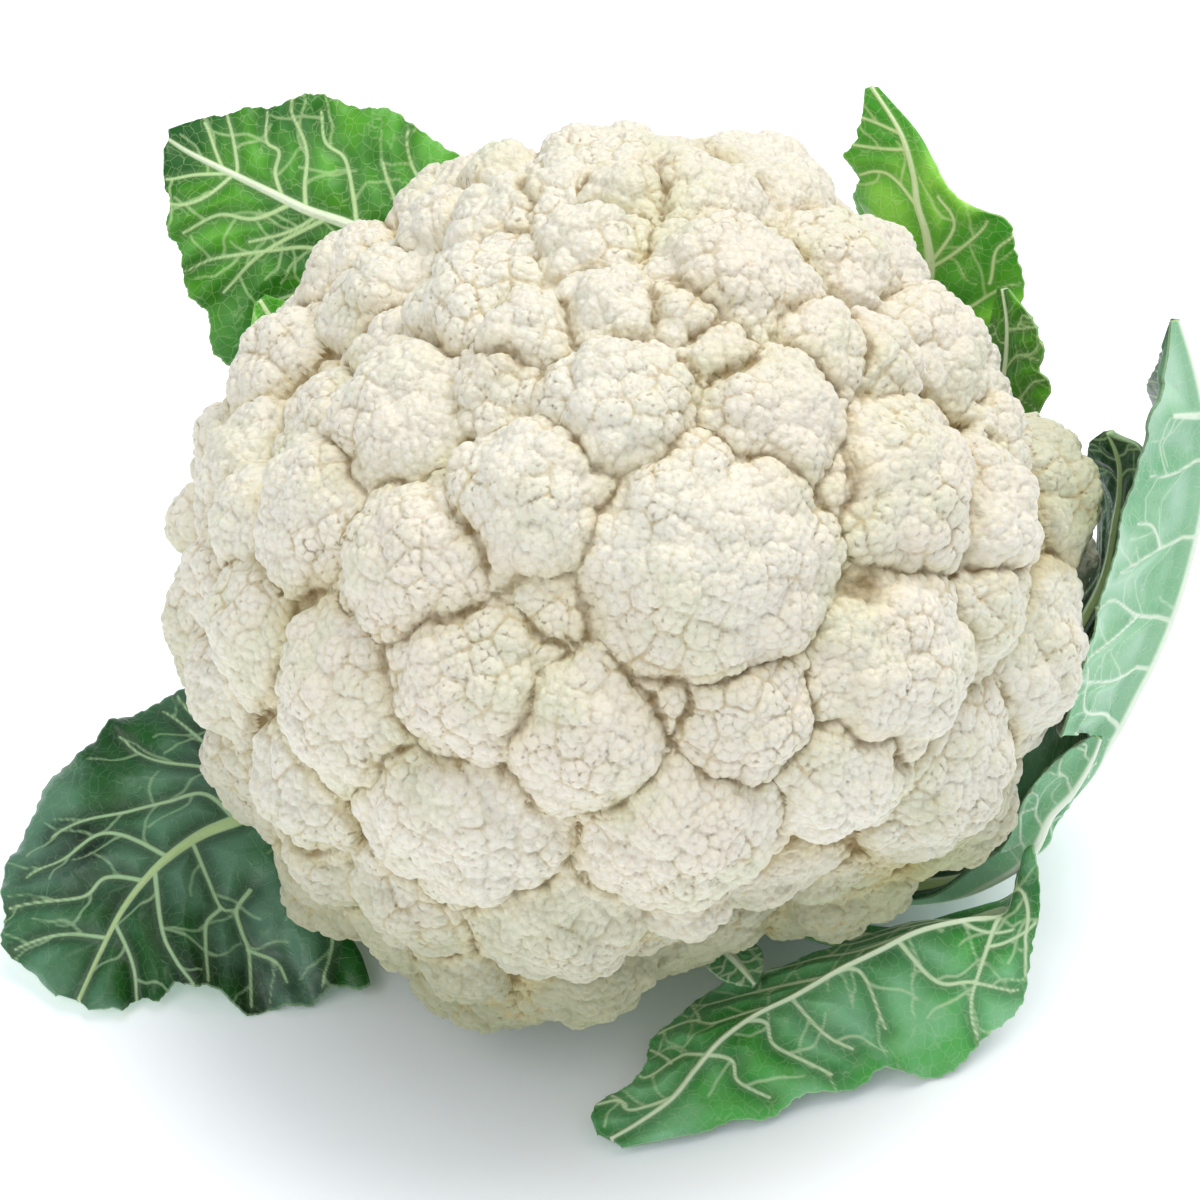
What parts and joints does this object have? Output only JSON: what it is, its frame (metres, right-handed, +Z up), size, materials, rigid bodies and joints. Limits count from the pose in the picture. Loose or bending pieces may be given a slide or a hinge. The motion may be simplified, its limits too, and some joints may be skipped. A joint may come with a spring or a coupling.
{
  "type": "cauliflower",
  "caption": "Trimmed cauliflower: a rounded head of cream florets on its cut stem, with the wavy green leaves that are left around it.",
  "frame": {"origin": "middle of the stem's cut face, on the surface that the cauliflower rests on", "axes": "+Z up through the stem and the head; +X to the right of the view that the picture has, and +Y away from it"},
  "size_m": [0.248, 0.2082, 0.1777],
  "materials": {
    "curd": "matte, slightly waxy",
    "stem": "smooth, slightly waxy",
    "leaf_bright": "satin, fresh green",
    "leaf_middle": "satin, with a pale bloom",
    "leaf_dark": "satin, with a blue-grey bloom",
    "leaf_grey": "satin, pale blue-green underside"
  },
  "bodies": {
    "root": {"curd": "curd", "stem": "stem", "leaf_front_left": "leaf_dark", "leaf_front_right": "leaf_middle", "leaf_back_left": "leaf_bright", "leaf_back_left_small": "leaf_bright", "leaf_back": "leaf_middle", "leaf_back_right": "leaf_bright", "leaf_back_right_small": "leaf_middle", "leaf_right_inner": "leaf_dark", "leaf_right": "leaf_grey", "leaf_right_low": "leaf_grey", "leaf_under": "leaf_middle"}
  },
  "joints": []
}
